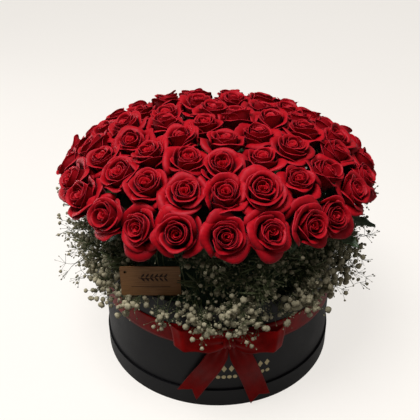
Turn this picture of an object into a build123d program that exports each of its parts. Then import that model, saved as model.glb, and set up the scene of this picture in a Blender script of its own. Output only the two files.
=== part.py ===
"""Round flower box: a rigid paper-covered box standing in its own lid, tied with a satin ribbon and
filled with a dome of roses over a collar of gypsophila. Millimetres, +Z up. The origin is the centre
of the lid's underside, the face that the whole thing stands on. -Y is the front, where the bow is."""
from build123d import *
import math
import os

os.makedirs("parts", exist_ok=True)

# ---------------------------------------------------------------- driving dimensions
box_radius = 180.0          # outside of the paper-covered wall
box_height = 180.0          # wall only, without the lid it stands in
board = 1.8                 # greyboard thickness
paper = 0.3                 # covering paper
lid_gap = 0.4               # slip clearance between the wall and the lid
lid_depth = 30.0            # height of the lid's rim
lid_wrap_foot = 0.6         # the paper stops just short of the surface the lid stands on
turn_in = 15.0              # how far the covering paper is folded over an edge

ribbon_width = 32.0
ribbon_thick = 0.5
ribbon_level = 127.0        # height of the ribbon's middle at the knot
ribbon_slope = 1.6          # degrees, the band sits lower on the +X side
knot_turn = 4.6             # degrees round the box from the front, towards +X
loop_reach = 74.0           # length of one bow loop
loop_depth = 15.0           # how far a loop bulges from front to back
loop_lean = 24.0            # degrees, the loops' lower edges stand away from the wall
knot_wide = 24.0
knot_tall = 28.0
knot_depth = 15.0
knot_clear = 2.4            # between the band and the back of the knot
tail_clear = 1.6            # between the lid and the tails that hang over it
swallow_cut = 13.0          # depth of the notch in a tail's end
bow_tails = (
    # name, degrees it swings out, length, start beside the knot's middle
    ("left", -27.0, 112.0, -5.0),
    ("right", 17.0, 118.0, 4.0),
)

liner_radius = 176.6
liner_height = 150.0
liner_wall = 0.8
brick_long = 230.0          # floral foam bricks standing on their long edges
brick_wide = 80.0
brick_tall = 110.0
foam_shoulder = 165.0       # the foam's top edge is shaved from here up
foam_crown_radius = 118.0

dome_radius = 245.0         # the roses' faces lie on this dome
dome_rise = 145.0
dome_power = 2.4            # 2 is an ellipsoid; more makes the top flatter and the shoulders fuller
dome_level = 236.0          # height of the dome's centre
dome_shift = (0.0, 16.0)    # the dome's middle against the box's middle
dome_spread = 0.05          # the back reaches this share further than the front
head_radius = 19.5
head_depth = 44.0
head_foot = 6.5             # radius where the head sits on its neck
neck_length = 9.0
stem_radius = 2.4
rose_rings = (
    # name, roses, distance from the dome's middle, first rose's turn from the front, foot distance
    ("crown", 3, 28.0, 82.0, 13.0),
    ("upper", 9, 80.0, 5.0, 38.0),
    ("middle", 15, 131.0, 4.0, 62.0),
    ("lower", 21, 179.0, 3.0, 80.0),
    ("skirt", 25, 223.0, 2.0, 96.0),
)
stem_foot_level = 150.0

collar_inner = 160.0        # gypsophila collar: radii and heights of one sector's section
collar_clear = 2.6          # air between the collar and the wall
collar_top = 254.0
collar_hem = 138.0
bow_hem = 153.0             # the collar ends higher above the bow
collar_reach = 216.0
sector_gap = 0.6            # degrees between neighbouring sectors

card_width = 80.0
card_tall = 47.0
card_thick = 1.2
card_hole = 2.2             # radius of the small hole in its corner
card_centre = (-89.0, -158.0, 208.5)
pick_radius = 1.5
pick_length = 96.0
pick_slope = 22.0           # degrees above the level
pick_clear = 0.1
tag_travel = 60.0

# ---------------------------------------------------------------- derived sizes
wall_outer = box_radius - paper
wall_inner = wall_outer - board
lid_inner = box_radius + lid_gap + paper
lid_outer = lid_inner + board
lid_radius = lid_outer + paper
box_foot = board
rim_level = box_foot + box_height
liner_foot = box_foot + board
foam_foot = liner_foot + liner_wall
foam_split = foam_foot + brick_tall
foam_top = foam_split + brick_tall
foam_radius = liner_radius - liner_wall - 0.6


def turn_of(index, count, first):
    """Azimuth in degrees of a rose in its ring, 0 at the front and growing towards +X."""
    return first + 360.0 * index / count


def dome_point(reach, turn):
    """Face centre of a rose and its outward direction on the dome."""
    share = reach / dome_radius
    fall = 1.0 - share ** dome_power
    height = dome_rise * fall ** (1 / dome_power)
    lean = math.atan(dome_rise / dome_radius * share ** (dome_power - 1) * fall ** (1 / dome_power - 1))
    side = Vector(math.sin(math.radians(turn)), -math.cos(math.radians(turn)), 0)
    spread = 1.0 + dome_spread * max(0.0, side.Y) ** 2
    middle = Vector(dome_shift[0], dome_shift[1], dome_level)
    face = middle + side * (reach * spread) + Vector(0, 0, height)
    return face, side * math.sin(lean) + Vector(0, 0, math.cos(lean))


def rose_places(ring):
    """Face centre, outward direction and stem foot of every rose in a ring; heads sit a little uneven."""
    name, count, reach, first, foot_reach = ring
    places = []
    for index in range(count):
        turn = turn_of(index, count, first)
        turn += 0.9 * math.sin(2.7 * index + reach)
        uneven = 1.2 * math.sin(1.9 * index + 0.7 * reach)
        face, out = dome_point(reach + 0.8 * math.cos(2.3 * index), turn)
        face = face + out * uneven
        around = math.radians(turn)
        foot = Vector(foot_reach * math.sin(around), -foot_reach * math.cos(around), stem_foot_level)
        places.append((face, out, foot))
    return places


def write(part, name):
    """Labels a finished piece and writes its STEP file."""
    part.label = name
    export_step(part, "parts/" + name + ".step")


# ---------------------------------------------------------------- lid, used as the foot tray
with BuildPart() as lid_board:
    with BuildSketch():
        Circle(lid_inner)
    extrude(amount=board)
write(lid_board.part, "lid_board")

with BuildPart() as lid_rim:
    with BuildSketch():
        Circle(lid_outer)
        Circle(lid_inner, mode=Mode.SUBTRACT)
    extrude(amount=lid_depth - paper)
write(lid_rim.part, "lid_rim")

with BuildPart() as lid_wrap:
    with BuildSketch(Plane.XZ):
        with BuildLine():
            Polyline(
                (lid_outer, lid_wrap_foot), (lid_radius, lid_wrap_foot), (lid_radius, lid_depth),
                (lid_inner - paper, lid_depth),
                (lid_inner - paper, lid_depth - turn_in), (lid_inner, lid_depth - turn_in),
                (lid_inner, lid_depth - paper), (lid_outer, lid_depth - paper), close=True,
            )
        make_face()
    revolve(axis=Axis.Z)
write(lid_wrap.part, "lid_wrap")

# ---------------------------------------------------------------- box
with BuildPart() as box_wall:
    with BuildSketch(Plane.XY.offset(box_foot)):
        Circle(wall_outer)
        Circle(wall_inner, mode=Mode.SUBTRACT)
    extrude(amount=box_height - paper)
write(box_wall.part, "box_wall")

with BuildPart() as box_base:
    with BuildSketch(Plane.XY.offset(box_foot)):
        Circle(wall_inner)
    extrude(amount=board)
write(box_base.part, "box_base")

with BuildPart() as box_wrap:
    with BuildSketch(Plane.XZ):
        with BuildLine():
            Polyline(
                (wall_outer, box_foot), (box_radius, box_foot), (box_radius, rim_level),
                (wall_inner - paper, rim_level), (wall_inner - paper, rim_level - turn_in),
                (wall_inner, rim_level - turn_in), (wall_inner, rim_level - paper),
                (wall_outer, rim_level - paper), close=True,
            )
        make_face()
    revolve(axis=Axis.Z)
write(box_wrap.part, "box_wrap")

# ---------------------------------------------------------------- ribbon and bow
knot_around = math.radians(knot_turn)
slope = math.radians(ribbon_slope)
band_middle = ribbon_level + box_radius * math.sin(knot_around) * math.tan(slope)
band_plane = Plane(
    origin=(0, 0, band_middle), x_dir=(1, 0, -math.tan(slope)), z_dir=(math.sin(slope), 0, math.cos(slope)),
)
with BuildPart() as ribbon_band:
    with BuildSketch():
        Circle(box_radius + ribbon_thick)
        Circle(box_radius, mode=Mode.SUBTRACT)
    extrude(amount=rim_level)
    with BuildSketch(band_plane.offset(-ribbon_width / 2)):
        Rectangle(3 * box_radius, 3 * box_radius)
    extrude(amount=ribbon_width, mode=Mode.INTERSECT)
write(ribbon_band.part, "ribbon_band")

knot_out = Vector(math.sin(knot_around), -math.cos(knot_around), 0)
knot_side = Vector(math.cos(knot_around), math.sin(knot_around), 0)
knot_back = box_radius + ribbon_thick + knot_clear
knot_origin = knot_out * knot_back + Vector(0, 0, ribbon_level - 2)
knot_plane = Plane(origin=knot_origin, x_dir=knot_side, z_dir=knot_out)
with BuildPart() as bow_knot:
    with BuildSketch(knot_plane):
        RectangleRounded(knot_wide, knot_tall, 6)
    extrude(amount=knot_depth)
    fillet(bow_knot.faces().sort_by(SortBy.DISTANCE).last.edges(), radius=4)
write(bow_knot.part, "bow_knot")

# Each loop leaves the knot's side, bulges forward, folds at its far end and comes back along the wall.
lean_sin = math.sin(math.radians(loop_lean))
lean_cos = math.cos(math.radians(loop_lean))
loop_fold = loop_reach - 5.0
for side_name, sign in (("left", -1), ("right", 1)):
    root = knot_out * (knot_back + 8.5) + knot_side * (sign * 11.0) + Vector(0, 0, ribbon_level - 1)
    loop_up = Vector(0, 0, 1) * lean_cos - knot_out * lean_sin
    loop_plane = Plane(origin=root - loop_up * (ribbon_width / 2), x_dir=knot_side * sign, z_dir=loop_up)
    away = 1.0 if loop_plane.y_dir.dot(knot_out) > 0 else -1.0
    with BuildPart() as bow_loop:
        with BuildSketch(loop_plane):
            with BuildLine():
                bulge = (loop_reach * 0.5, loop_depth * 0.5 * away)
                front = ThreePointArc((0, 1.2 * away), bulge, (loop_fold, 2.0 * away))
                tip = ThreePointArc(front @ 1, (loop_reach, -1.5 * away), (loop_fold, -5.0 * away))
                back = ThreePointArc(tip @ 1, (loop_reach * 0.5, -4.5 * away), (0, -1.2 * away))
                Line(back @ 1, front @ 0)
            make_face()
            offset(amount=-ribbon_thick, mode=Mode.SUBTRACT)
        extrude(amount=ribbon_width)
    write(bow_loop.part, "bow_loop_" + side_name)

# The tails hang down in front of the wall and past the lid's rim, each ending in a swallow-tail cut.
tail_radius = lid_radius + tail_clear
tail_half = ribbon_width / 2
tail_top_half = tail_half - 5.0
for side_name, tilt, length, start in bow_tails:
    tail_top = Vector(0, 0, ribbon_level - 6) + knot_side * start
    tail_plane = Plane(origin=tail_top, x_dir=knot_side, z_dir=knot_out)
    with BuildPart() as bow_tail:
        with BuildSketch():
            Circle(tail_radius + ribbon_thick)
            Circle(tail_radius, mode=Mode.SUBTRACT)
        extrude(amount=rim_level)
        with BuildSketch(tail_plane.rotated((0, 0, tilt))):
            with BuildLine():
                Polyline(
                    (-tail_top_half, 0), (tail_top_half, 0), (tail_half, -25), (tail_half, -length),
                    (0, swallow_cut - length), (-tail_half, -length), (-tail_half, -25), close=True,
                )
            make_face()
        extrude(amount=2 * box_radius, mode=Mode.INTERSECT)
    write(bow_tail.part, "bow_tail_" + side_name)

# ---------------------------------------------------------------- name card on its pick
card_point = Vector(*card_centre)
pick_turn = math.atan2(card_point.X, -card_point.Y)
pick_flat = Vector(math.sin(pick_turn), -math.cos(pick_turn), 0)
pick_out = pick_flat * math.cos(math.radians(pick_slope)) + Vector(0, 0, math.sin(math.radians(pick_slope)))
card_plane = Plane(origin=card_point, x_dir=(1, 0, 0), z_dir=(0, -1, 0))
with BuildPart() as tag_card:
    with BuildSketch(card_plane):
        RectangleRounded(card_width, card_tall, 3)
        with Locations((-card_width / 2 + 7, card_tall / 2 - 9)):
            Circle(card_hole, mode=Mode.SUBTRACT)
    extrude(amount=card_thick)
write(tag_card.part, "tag_card")

pick_start = card_point + Vector(0, 0, -8)
with BuildPart() as tag_pick:
    with BuildSketch(Plane(origin=pick_start, z_dir=-pick_out)):
        Circle(pick_radius)
    extrude(amount=pick_length)
    with BuildSketch(Plane(origin=pick_start, z_dir=pick_out)):
        Circle(pick_radius)
    extrude(amount=8)
    split(bisect_by=Plane(origin=card_point, z_dir=(0, 1, 0)), keep=Keep.TOP)
write(tag_pick.part, "tag_pick")

# ---------------------------------------------------------------- rose stems with their necks
stem_bodies = {}
for ring in rose_rings:
    with BuildPart() as rose_stems:
        for face, out, foot in rose_places(ring):
            base = face - out * head_depth
            neck = base - out * neck_length
            with BuildSketch(Plane(origin=base, z_dir=-out)):
                Circle(head_foot)
            with BuildSketch(Plane(origin=neck, z_dir=-out)):
                Circle(stem_radius)
            loft()
            with Locations(neck):
                Sphere(stem_radius)
            with BuildSketch(Plane(origin=neck, z_dir=foot - neck)):
                Circle(stem_radius)
            extrude(amount=(foot - neck).length)
    stem_bodies[ring[0]] = rose_stems.part
    write(rose_stems.part, "rose_stems_" + ring[0])

# ---------------------------------------------------------------- gypsophila stems
spray_count = 24
spray_reach = 168.0
spray_foot = 116.0
spray_head = rim_level + 3
with BuildPart() as spray_stems:
    with PolarLocations(spray_reach, spray_count, start_angle=7.5):
        with Locations((0, 0, spray_foot)):
            Cylinder(0.8, spray_head - spray_foot, align=(Align.CENTER, Align.CENTER, Align.MIN))
write(spray_stems.part, "gypsophila_stems")

# ---------------------------------------------------------------- waterproof liner and floral foam
with BuildPart() as liner:
    with BuildSketch(Plane.XY.offset(liner_foot)):
        Circle(liner_radius)
    extrude(amount=liner_height)
    offset(amount=-liner_wall, openings=liner.faces().sort_by(Axis.Z).last)
write(liner.part, "liner")

with BuildPart() as foam_outline:
    with BuildSketch(Plane.XZ):
        with BuildLine():
            Polyline(
                (0, foam_foot), (foam_radius, foam_foot), (foam_radius, foam_shoulder),
                (foam_crown_radius, foam_top), (0, foam_top), close=True,
            )
        make_face()
    revolve(axis=Axis.Z)

with BuildPart() as pick_hole:
    with BuildSketch(Plane(origin=pick_start, z_dir=-pick_out)):
        Circle(pick_radius + pick_clear)
    extrude(amount=pick_length + 0.5)

for layer, foot_level in (("lower", foam_foot), ("upper", foam_split)):
    for index in range(4):
        with BuildPart() as foam_brick:
            with BuildSketch(Plane.XY.offset(foot_level)):
                with Locations(((index - 1.5) * brick_wide, 0)):
                    Rectangle(brick_wide, brick_long)
            extrude(amount=brick_tall)
            add(foam_outline.part, mode=Mode.INTERSECT)
            if layer == "upper":
                for name in stem_bodies:
                    add(stem_bodies[name], mode=Mode.SUBTRACT)
                add(spray_stems.part, mode=Mode.SUBTRACT)
                add(pick_hole.part, mode=Mode.SUBTRACT)
        write(foam_brick.part, "foam_brick_" + layer + "_" + str(index + 1))

filler_deep = 80.0
filler_gap = 0.5
for side_name, sign in (("front", -1), ("back", 1)):
    with BuildPart() as foam_filler:
        for foot_level in (foam_foot, foam_split):
            with BuildSketch(Plane.XY.offset(foot_level)):
                with Locations((0, sign * (brick_long / 2 + filler_gap + filler_deep / 2))):
                    Rectangle(brick_long, filler_deep)
            extrude(amount=brick_tall - 0.4)
        add(foam_outline.part, mode=Mode.INTERSECT)
        for name in stem_bodies:
            add(stem_bodies[name], mode=Mode.SUBTRACT)
        add(spray_stems.part, mode=Mode.SUBTRACT)
        add(pick_hole.part, mode=Mode.SUBTRACT)
    write(foam_filler.part, "foam_filler_" + side_name)

# ---------------------------------------------------------------- rose heads
# The wide rings are cut into groups of neighbours, so that each group stays a node a hand could lift.
ring_groups = {"crown": 1, "upper": 1, "middle": 3, "lower": 4, "skirt": 4}


# A closed head: narrow foot, round belly, rolled lip and a shallow dome over the furled heart.
with BuildPart() as rose_head:
    with BuildSketch(Plane.XZ):
        with BuildLine():
            Line((0, 0), (head_foot, 0))
            ThreePointArc((head_foot, 0), (16.5, 13.0), (head_radius, 29.0))
            ThreePointArc((head_radius, 29.0), (17.0, 38.5), (8.0, head_depth))
            Line((8.0, head_depth), (0, head_depth))
            Line((0, head_depth), (0, 0))
        make_face()
    revolve(axis=Axis.Z)

for ring in rose_rings:
    places = rose_places(ring)
    groups = ring_groups[ring[0]]
    size = math.ceil(len(places) / groups)
    for group in range(groups):
        with BuildPart() as rose_heads:
            for face, out, foot in places[group * size:(group + 1) * size]:
                add(Plane(origin=face - out * head_depth, z_dir=out).location * rose_head.part)
        suffix = "_" + str(group + 1) if groups > 1 else ""
        write(rose_heads.part, "rose_heads_" + ring[0] + suffix)

# ---------------------------------------------------------------- rose leaves
# name part, turn round the box, reach of the leaf's middle, height, length, width, droop
leaf_specs = ((78.0, 226.0, 262.0, 44.0, 27.0, 12.0), (52.0, 218.0, 258.4, 34.0, 22.0, 10.0),
              (-92.0, 224.0, 262.0, 34.0, 21.0, 8.0), (150.0, 222.0, 262.0, 40.0, 25.0, 12.0))
with BuildPart() as rose_leaves:
    for turn, reach, level, length, width, droop in leaf_specs:
        around = math.radians(turn)
        flat = Vector(math.sin(around), -math.cos(around), 0)
        across = Vector(math.cos(around), math.sin(around), 0)
        along = flat * math.cos(math.radians(droop)) - Vector(0, 0, math.sin(math.radians(droop)))
        leaf_middle = flat * reach + Vector(0, 0, level)
        with BuildSketch(Plane(origin=leaf_middle, x_dir=along, z_dir=along.cross(across))):
            with BuildLine():
                ThreePointArc((-length / 2, 0), (0, width / 2), (length / 2, 0))
                ThreePointArc((length / 2, 0), (0, -width / 2), (-length / 2, 0))
            make_face()
        extrude(amount=0.8)
write(rose_leaves.part, "rose_leaves")

# ---------------------------------------------------------------- gypsophila collar, in eight sectors
# Each sector is a lump that fills the space of its sprays; the side sprays reach further out.
sector_names = ("front", "front_right", "right", "back_right", "back", "back_left", "left", "front_left")
sector_reach = {
    "left": 238.0, "right": 236.0, "back": 228.0, "back_left": 228.0, "back_right": 228.0,
}
sector_angle = 360.0 / len(sector_names)
wall_clear = box_radius + collar_clear
with BuildPart() as card_way:
    with BuildSketch(card_plane.offset(-3)):
        Rectangle(card_width + 6, card_tall + 6)
    extrude(amount=tag_travel + 60, dir=pick_out)
with BuildPart() as pick_way:
    with BuildSketch(Plane(origin=pick_start, z_dir=-pick_out)):
        Circle(pick_radius + 1.0)
    extrude(amount=pick_length + 2)
for index, name in enumerate(sector_names):
    reach = sector_reach.get(name, collar_reach)
    hem = bow_hem if name in ("front", "front_right") else collar_hem
    middle_turn = index * sector_angle
    with BuildPart() as collar:
        with BuildSketch(Plane.XZ):
            with BuildLine():
                Polyline(
                    (collar_inner, spray_head), (wall_clear, spray_head), (wall_clear, hem),
                    (wall_clear + 14, hem), (reach - 6, 176), (reach, 205), (reach - 4, 240),
                    (reach - 16, collar_top), (176, collar_top), (164, 225), close=True,
                )
            make_face()
        revolve(axis=Axis.Z, revolution_arc=sector_angle - sector_gap)
    turned = collar.part.rotate(Axis.Z, middle_turn - 90 - (sector_angle - sector_gap) / 2)
    with BuildPart() as sector:
        add(turned)
        add(stem_bodies["skirt"], mode=Mode.SUBTRACT)
        if name in ("front_left", "front", "left"):
            add(card_way.part, mode=Mode.SUBTRACT)
            add(pick_way.part, mode=Mode.SUBTRACT)
    write(sector.part, "gypsophila_" + name)
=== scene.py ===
"""A round flower box: black paper-covered box in its own lid, satin ribbon and bow, a dome of dark-red
roses and a collar of gypsophila with a wooden name card. Every size is in metres, in the frame of the
CAD model, +Z up, with -Y at the front where the bow is tied."""
import math

import bmesh
import bpy
import numpy as np
from mathutils import Matrix, Vector


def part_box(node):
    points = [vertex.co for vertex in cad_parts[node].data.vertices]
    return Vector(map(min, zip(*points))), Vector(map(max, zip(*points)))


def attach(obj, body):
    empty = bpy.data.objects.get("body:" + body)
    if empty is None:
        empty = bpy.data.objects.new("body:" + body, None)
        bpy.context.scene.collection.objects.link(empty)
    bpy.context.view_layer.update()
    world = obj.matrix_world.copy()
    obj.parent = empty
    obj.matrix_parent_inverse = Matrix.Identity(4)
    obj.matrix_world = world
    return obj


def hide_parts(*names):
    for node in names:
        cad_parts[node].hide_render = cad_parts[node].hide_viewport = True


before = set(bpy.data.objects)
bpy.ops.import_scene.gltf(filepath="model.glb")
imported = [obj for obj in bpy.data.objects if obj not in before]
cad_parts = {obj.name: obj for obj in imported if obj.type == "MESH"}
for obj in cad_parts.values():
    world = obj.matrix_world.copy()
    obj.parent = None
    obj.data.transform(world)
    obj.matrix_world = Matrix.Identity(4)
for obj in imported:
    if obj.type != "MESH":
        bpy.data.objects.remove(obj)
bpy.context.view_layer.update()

bl_info = {
    "name": "Flower Box",
    "version": (1, 0, 0),
    "blender": (4, 5, 0),
    "location": "3D View > Sidebar > Flower Box",
    "description": "Dresses a round flower box with roses, gypsophila, satin ribbon and studio",
    "category": "Object",
}

BOX_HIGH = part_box("box_wrap")[1]
BOX_RADIUS = BOX_HIGH.x
RIM_LEVEL = BOX_HIGH.z
LID_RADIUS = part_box("lid_wrap")[1].x
KNOT_LOW, KNOT_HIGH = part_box("bow_knot")
KNOT = (KNOT_LOW + KNOT_HIGH) / 2
KNOT_TURN = math.atan2(KNOT.x, -KNOT.y)
BAND_LOW, BAND_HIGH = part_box("ribbon_band")
FULL_TURN = 2.0 * math.pi
GOLDEN_TURN = math.radians(137.5)
SEED = 4100
SECTOR_HALF = math.radians(22.4)    # half of one eighth of the collar
BOW_REACH = 0.2035                  # sprigs in front of the bow stand at least this far out
WALL_GAP = 0.0062                   # and elsewhere this far off the wall
SPRIG_TOP = 0.290                   # the roses begin above this
# green is how far a tier's florets mix towards the dark bud colour; the shade tier's larger share is painted
# shade under the roses
TIERS = {
    "fringe": {"branches": 7, "full": 0.40, "largest": 1.20, "green": 0.10},
    "shade": {"branches": 8, "full": 0.15, "largest": 0.90, "green": 0.52},
    "stray": {"branches": 5, "full": 0.24, "largest": 0.70, "green": 0.35},
}


# ------------------------------------------------------------------------------------ sizes and colours
class BoxSettings(bpy.types.PropertyGroup):
    paper_colour: bpy.props.FloatVectorProperty(
        name="Paper", description="Colour of the covering paper", subtype="COLOR", size=3,
        default=(0.0018, 0.0017, 0.0026))
    foil_colour: bpy.props.FloatVectorProperty(
        name="Foil", description="Colour of the stamped ornament", subtype="COLOR", size=3,
        default=(0.62, 0.52, 0.30))
    ornament_width: bpy.props.FloatProperty(
        name="Ornament width", description="Width of the stamped ornament", default=0.106, unit="LENGTH")


class RibbonSettings(bpy.types.PropertyGroup):
    width: bpy.props.FloatProperty(
        name="Width", description="Width of the satin ribbon", default=0.032, unit="LENGTH")
    thickness: bpy.props.FloatProperty(
        name="Thickness", description="Thickness of the satin ribbon", default=0.0005, unit="LENGTH")
    colour: bpy.props.FloatVectorProperty(
        name="Colour", description="Colour of the satin", subtype="COLOR", size=3,
        default=(0.185, 0.003, 0.003))


class RoseSettings(bpy.types.PropertyGroup):
    bloom_radius: bpy.props.FloatProperty(
        name="Bloom radius", description="Radius of an open rose head", default=0.0292, unit="LENGTH")
    bloom_height: bpy.props.FloatProperty(
        name="Bloom height", description="Height of a head from its foot to its lips", default=0.0445,
        unit="LENGTH")
    petals: bpy.props.IntProperty(
        name="Petals", description="Petals round the furled heart of a rose", default=16, min=10, max=45)
    lit_colour: bpy.props.FloatVectorProperty(
        name="Petal", description="Colour of the petals' lips", subtype="COLOR", size=3,
        default=(0.43, 0.002, 0.008))
    # painted shade: the dark red the petals take deep between each other, towards their feet
    painted_shade_colour: bpy.props.FloatVectorProperty(
        name="Petal foot", description="Colour deep between the petals", subtype="COLOR", size=3,
        default=(0.035, 0.0004, 0.0012))


class SprigSettings(bpy.types.PropertyGroup):
    floret_radius: bpy.props.FloatProperty(
        name="Floret radius", description="Radius of a full gypsophila floret", default=0.0043,
        unit="LENGTH")
    sprigs_per_sector: bpy.props.IntProperty(
        name="Sprigs", description="Sprigs in each eighth of the collar", default=26, min=4, max=60)
    floret_colour: bpy.props.FloatVectorProperty(
        name="Floret", description="Colour of the florets", subtype="COLOR", size=3,
        default=(0.39, 0.345, 0.225))
    # this dark colour stands for real closed buds and for painted shade on the florets under the roses
    bud_and_shade_colour: bpy.props.FloatVectorProperty(
        name="Bud", description="Colour of the closed buds", subtype="COLOR", size=3,
        default=(0.080, 0.076, 0.034))
    stalk_colour: bpy.props.FloatVectorProperty(
        name="Stalk", description="Colour of the sprigs' stalks", subtype="COLOR", size=3,
        default=(0.055, 0.068, 0.024))


class StageSettings(bpy.types.PropertyGroup):
    floor_colour: bpy.props.FloatVectorProperty(
        name="Floor", description="Colour of the floor", subtype="COLOR", size=3,
        default=(0.90, 0.865, 0.82))
    floor_glow: bpy.props.FloatProperty(
        name="Floor glow", description="Light that the floor adds towards the camera", default=0.86)
    camera_reach: bpy.props.FloatProperty(
        name="Camera distance", description="Level distance of the camera from the box's middle",
        default=0.8189, unit="LENGTH")
    camera_height: bpy.props.FloatProperty(
        name="Camera height", description="Height of the camera", default=0.7020, unit="LENGTH")
    camera_dip: bpy.props.FloatProperty(
        name="Camera dip", description="How far the camera looks down", default=math.radians(30.2),
        subtype="ANGLE")
    lens: bpy.props.FloatProperty(
        name="Lens", description="Focal length", default=52.8, subtype="DISTANCE_CAMERA")


# ------------------------------------------------------------------------------------------ mesh helpers
class Shape:
    """Gathers vertices, quads or triangles and per-vertex values, and turns them into one object."""

    def __init__(self):
        self.verts = []
        self.faces = []
        self.values = {}
        self.count = 0

    def add(self, verts, faces, **values):
        verts = np.asarray(verts, float).reshape(-1, 3)
        self.verts.append(verts)
        self.faces.extend((np.asarray(faces, int) + self.count).tolist())
        for key, value in values.items():
            spread = np.broadcast_to(np.asarray(value, float).reshape(-1), (len(verts),))
            self.values.setdefault(key, []).append(spread)
        self.count += len(verts)

    def build(self, name, material, body, slot=None, replaces=(), smooth=True):
        mesh = bpy.data.meshes.new(name)
        mesh.from_pydata(np.concatenate(self.verts).tolist(), [], self.faces)
        for key, arrays in self.values.items():
            layer = mesh.attributes.new(key, "FLOAT", "POINT")
            layer.data.foreach_set("value", np.concatenate(arrays).astype(np.float32))
        mesh.materials.append(material)
        mesh.polygons.foreach_set("use_smooth", [smooth] * len(mesh.polygons))
        mesh.update()
        piece = bpy.data.objects.new(name, mesh)
        bpy.context.scene.collection.objects.link(piece)
        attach(piece, body)
        if replaces:
            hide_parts(*replaces)
        return piece


def grid_faces(rows, columns, first=0, flip=False):
    row, column = np.meshgrid(np.arange(rows - 1), np.arange(columns - 1), indexing="ij")
    corner = (first + row * columns + column).reshape(-1)
    quads = np.stack([corner, corner + 1, corner + columns + 1, corner + columns], 1)
    return quads[:, ::-1] if flip else quads


def grid_normals(points):
    along = np.gradient(points, axis=0)
    across = np.gradient(points, axis=1)
    normal = np.cross(across, along)
    size = np.linalg.norm(normal, axis=2, keepdims=True)
    return normal / np.maximum(size, 1e-12)


def closed_sheet(points, thickness):
    """Vertices and quads of a thin closed sheet about a grid of points; thickness may vary over it."""
    rows, columns = points.shape[:2]
    normal = grid_normals(points)
    half = np.broadcast_to(np.asarray(thickness, float) / 2, (rows, columns))[..., None]
    verts = np.concatenate([points + normal * half, points - normal * half]).reshape(-1, 3)
    under = rows * columns
    index = np.arange(under).reshape(rows, columns)
    edge = np.concatenate([index[0, :-1], index[:-1, -1], index[-1, :0:-1], index[:0:-1, 0]])
    after = np.roll(edge, -1)
    rim = np.stack([edge, edge + under, after + under, after], 1)
    faces = np.concatenate([grid_faces(rows, columns), grid_faces(rows, columns, under, True), rim])
    return verts, faces


def tube(points, radii, sides=6):
    """Vertices and quads of a thin round stalk along a few points, capped at both ends; sides is even."""
    points = np.asarray(points, float)
    heading = np.gradient(points, axis=0)
    heading /= np.maximum(np.linalg.norm(heading, axis=1, keepdims=True), 1e-12)
    helper = np.array([0.0, 0.0, 1.0]) if abs(heading[0][2]) < 0.9 else np.array([1.0, 0.0, 0.0])
    side = np.cross(heading, helper)
    side /= np.maximum(np.linalg.norm(side, axis=1, keepdims=True), 1e-12)
    up = np.cross(heading, side)
    turn = np.arange(sides) * FULL_TURN / sides
    ring = side[:, None] * np.cos(turn)[None, :, None] + up[:, None] * np.sin(turn)[None, :, None]
    verts = (points[:, None] + ring * np.asarray(radii, float)[:, None, None]).reshape(-1, 3)
    faces = []
    for row in range(len(points) - 1):
        for step in range(sides):
            after = (step + 1) % sides
            faces.append([row * sides + step, row * sides + after,
                          (row + 1) * sides + after, (row + 1) * sides + step])
    last = (len(points) - 1) * sides
    for step in range(1, sides - 1, 2):
        faces.append([step + 2, step + 1, step, 0])
        faces.append([last, last + step, last + step + 1, last + step + 2])
    return verts, faces


def turned(points, origin, axis, roll):
    """Points of a shape drawn along +Z from its foot, set at origin along axis and rolled about it."""
    quat = Vector((0, 0, 1)).rotation_difference(Vector(axis))
    matrix = np.array(quat.to_matrix() @ Matrix.Rotation(roll, 3, "Z"))
    return np.asarray(points).reshape(-1, 3) @ matrix.T + np.asarray(origin)


def islands(node):
    """Middle, face middles from there, face areas and vertices of every separate solid in a CAD node."""
    work = bmesh.new()
    work.from_mesh(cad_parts[node].data)
    bmesh.ops.remove_doubles(work, verts=work.verts, dist=1e-6)
    seen, found = set(), []
    for start in work.verts:
        if start in seen:
            continue
        stack, group = [start], []
        seen.add(start)
        while stack:
            vert = stack.pop()
            group.append(vert)
            for edge in vert.link_edges:
                other = edge.other_vert(vert)
                if other not in seen:
                    seen.add(other)
                    stack.append(other)
        faces = {face for vert in group for face in vert.link_faces}
        area = np.array([face.calc_area() for face in faces])
        middle = np.array([face.calc_center_median()[:] for face in faces])
        centre = (middle * area[:, None]).sum(0) / area.sum()
        found.append((centre, middle - centre, area, np.array([vert.co[:] for vert in group])))
    work.free()
    return found


def head_places(node):
    """Foot and outward direction of every rose head in a CAD node, in order round the dome."""
    dome = np.array([0.0, 0.014, 0.20])
    places = []
    for centre, spread, area, verts in islands(node):
        values, vectors = np.linalg.eigh((spread * area[:, None]).T @ spread / area.sum())
        gaps = [abs(values[1] - values[2]), abs(values[0] - values[2]), abs(values[0] - values[1])]
        axis = vectors[:, int(np.argmin(gaps))]
        if axis @ (centre - dome) < 0:
            axis = -axis
        reach = (verts - centre) @ axis
        places.append((centre + axis * reach.min(), axis))
    places.sort(key=lambda place: math.atan2(place[0][0], -place[0][1]))
    return places


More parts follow.
